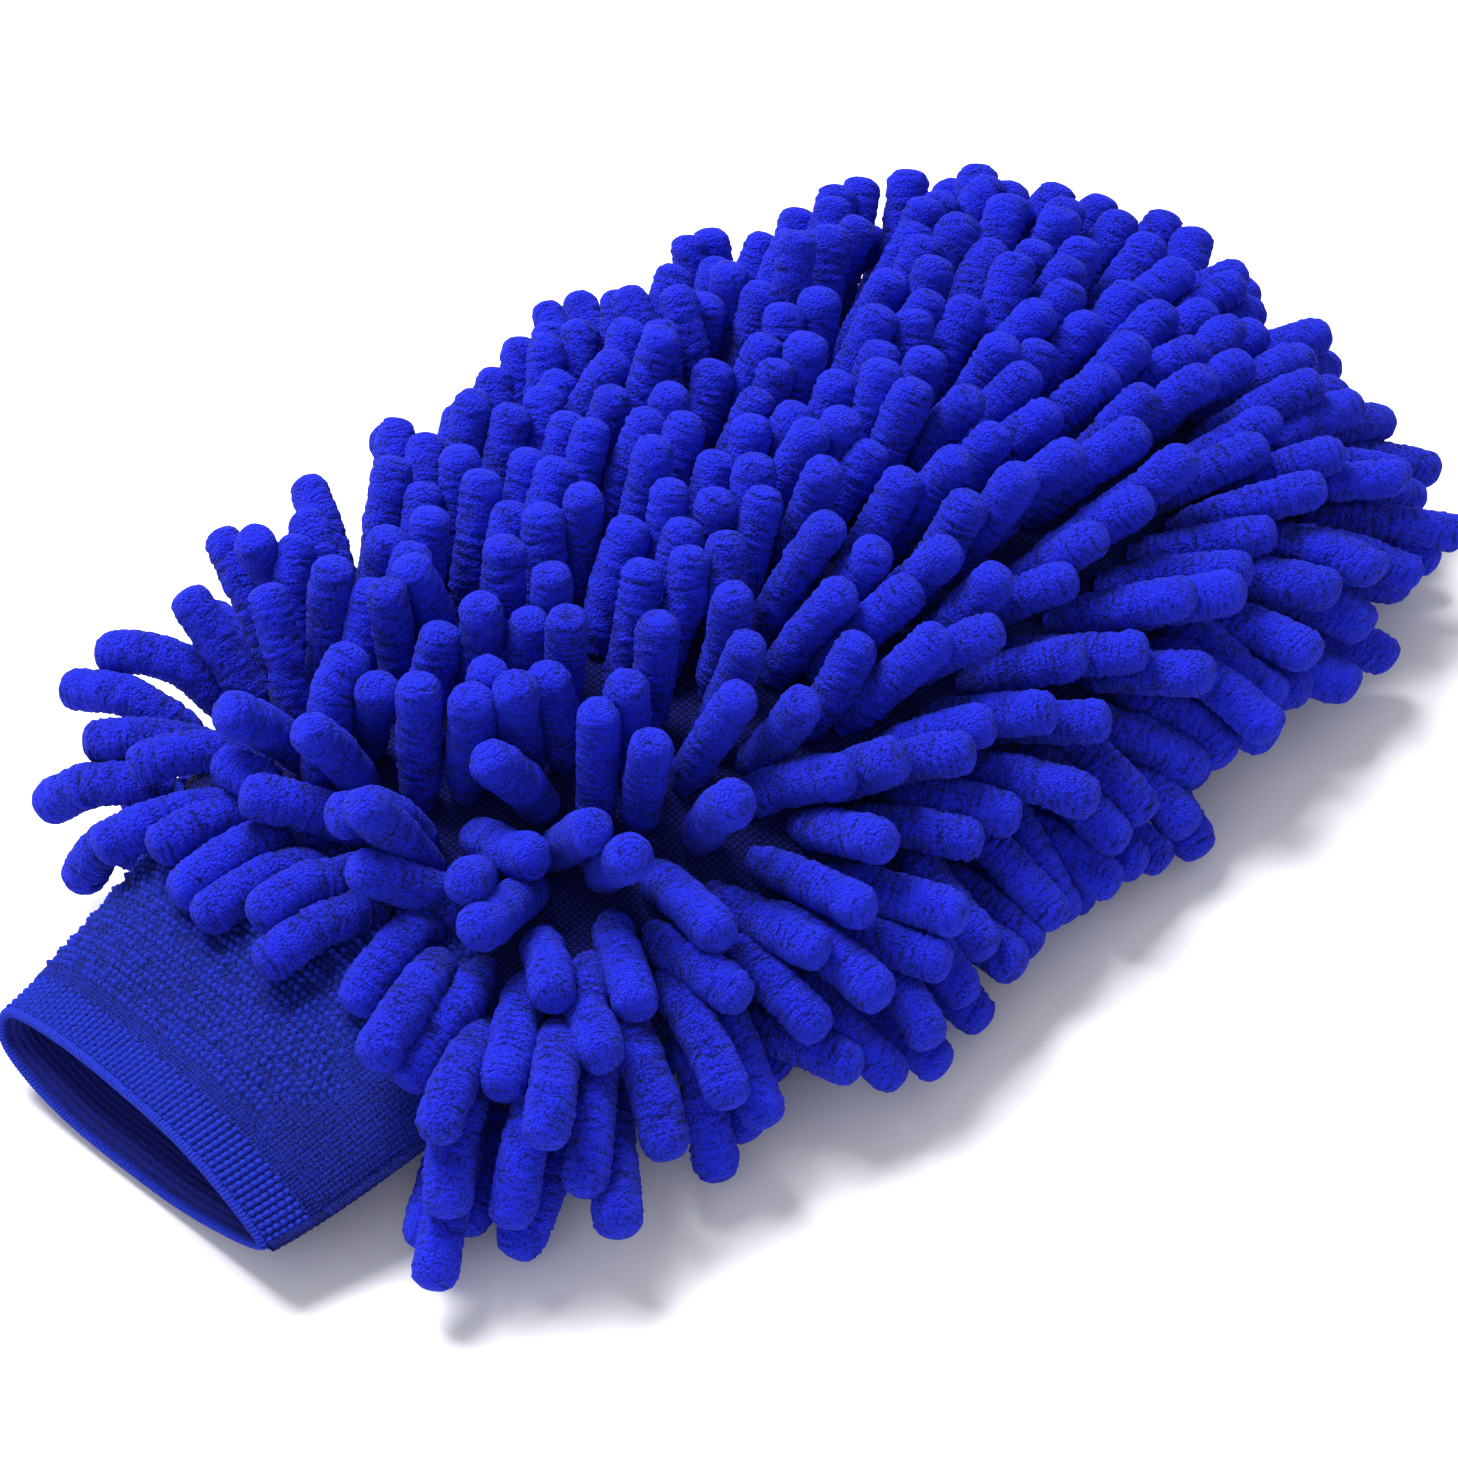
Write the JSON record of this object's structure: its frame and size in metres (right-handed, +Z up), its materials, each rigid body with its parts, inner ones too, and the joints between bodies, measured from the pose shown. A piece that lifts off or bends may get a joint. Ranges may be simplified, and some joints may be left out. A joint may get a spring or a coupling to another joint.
{
  "type": "wash mitt",
  "caption": "Soft hand mitt with dense rows of chenille fingers on a sewn bag and a ribbed knitted cuff, for washing cars and other smooth surfaces.",
  "frame": {"origin": "on the surface the mitt lies on, under the middle of its box", "axes": "+Z up, +Y towards the closed fingertip end, -Y towards the open cuff, X across the palm"},
  "size_m": [0.1758, 0.31, 0.0732],
  "materials": {
    "chenille": "soft chenille pile, matte with a velvety sheen",
    "knit_backing": "fine warp knit, matte",
    "lining_mesh": "thin open mesh, matte",
    "cuff_knit": "ribbed and purl knit, matte",
    "cuff_inner_knit": "plain knit, matte",
    "elastic": "woven elastic, matte",
    "seam_thread": "polyester thread, slight gloss"
  },
  "bodies": {
    "root": {"cuff_elastic_band": "elastic", "cuff_inner_layer": "cuff_inner_knit", "cuff_join_seam": "seam_thread", "cuff_outer_knit": "cuff_knit", "cuff_rib_band": "cuff_knit", "cuff_rolled_edge": "cuff_knit", "cuff_side_seam": "cuff_knit", "lower_backing_panel": "knit_backing", "lower_chenille_row_01": "chenille", "lower_chenille_row_02": "chenille", "lower_chenille_row_03": "chenille", "lower_chenille_row_04": "chenille", "lower_chenille_row_05": "chenille", "lower_chenille_row_06": "chenille", "lower_chenille_row_07": "chenille", "lower_chenille_row_08": "chenille", "lower_chenille_row_09": "chenille", "lower_chenille_row_10": "chenille", "lower_chenille_row_11": "chenille", "lower_chenille_row_12": "chenille", "lower_chenille_row_13": "chenille", "lower_chenille_row_14": "chenille", "lower_lining_panel": "lining_mesh", "perimeter_overlock_seam": "seam_thread", "upper_backing_panel": "knit_backing", "upper_chenille_row_01": "chenille", "upper_chenille_row_02": "chenille", "upper_chenille_row_03": "chenille", "upper_chenille_row_04": "chenille", "upper_chenille_row_05": "chenille", "upper_chenille_row_06": "chenille", "upper_chenille_row_07": "chenille", "upper_chenille_row_08": "chenille", "upper_chenille_row_09": "chenille", "upper_chenille_row_10": "chenille", "upper_chenille_row_11": "chenille", "upper_chenille_row_12": "chenille", "upper_chenille_row_13": "chenille", "upper_chenille_row_14": "chenille", "upper_lining_panel": "lining_mesh"}
  },
  "joints": []
}
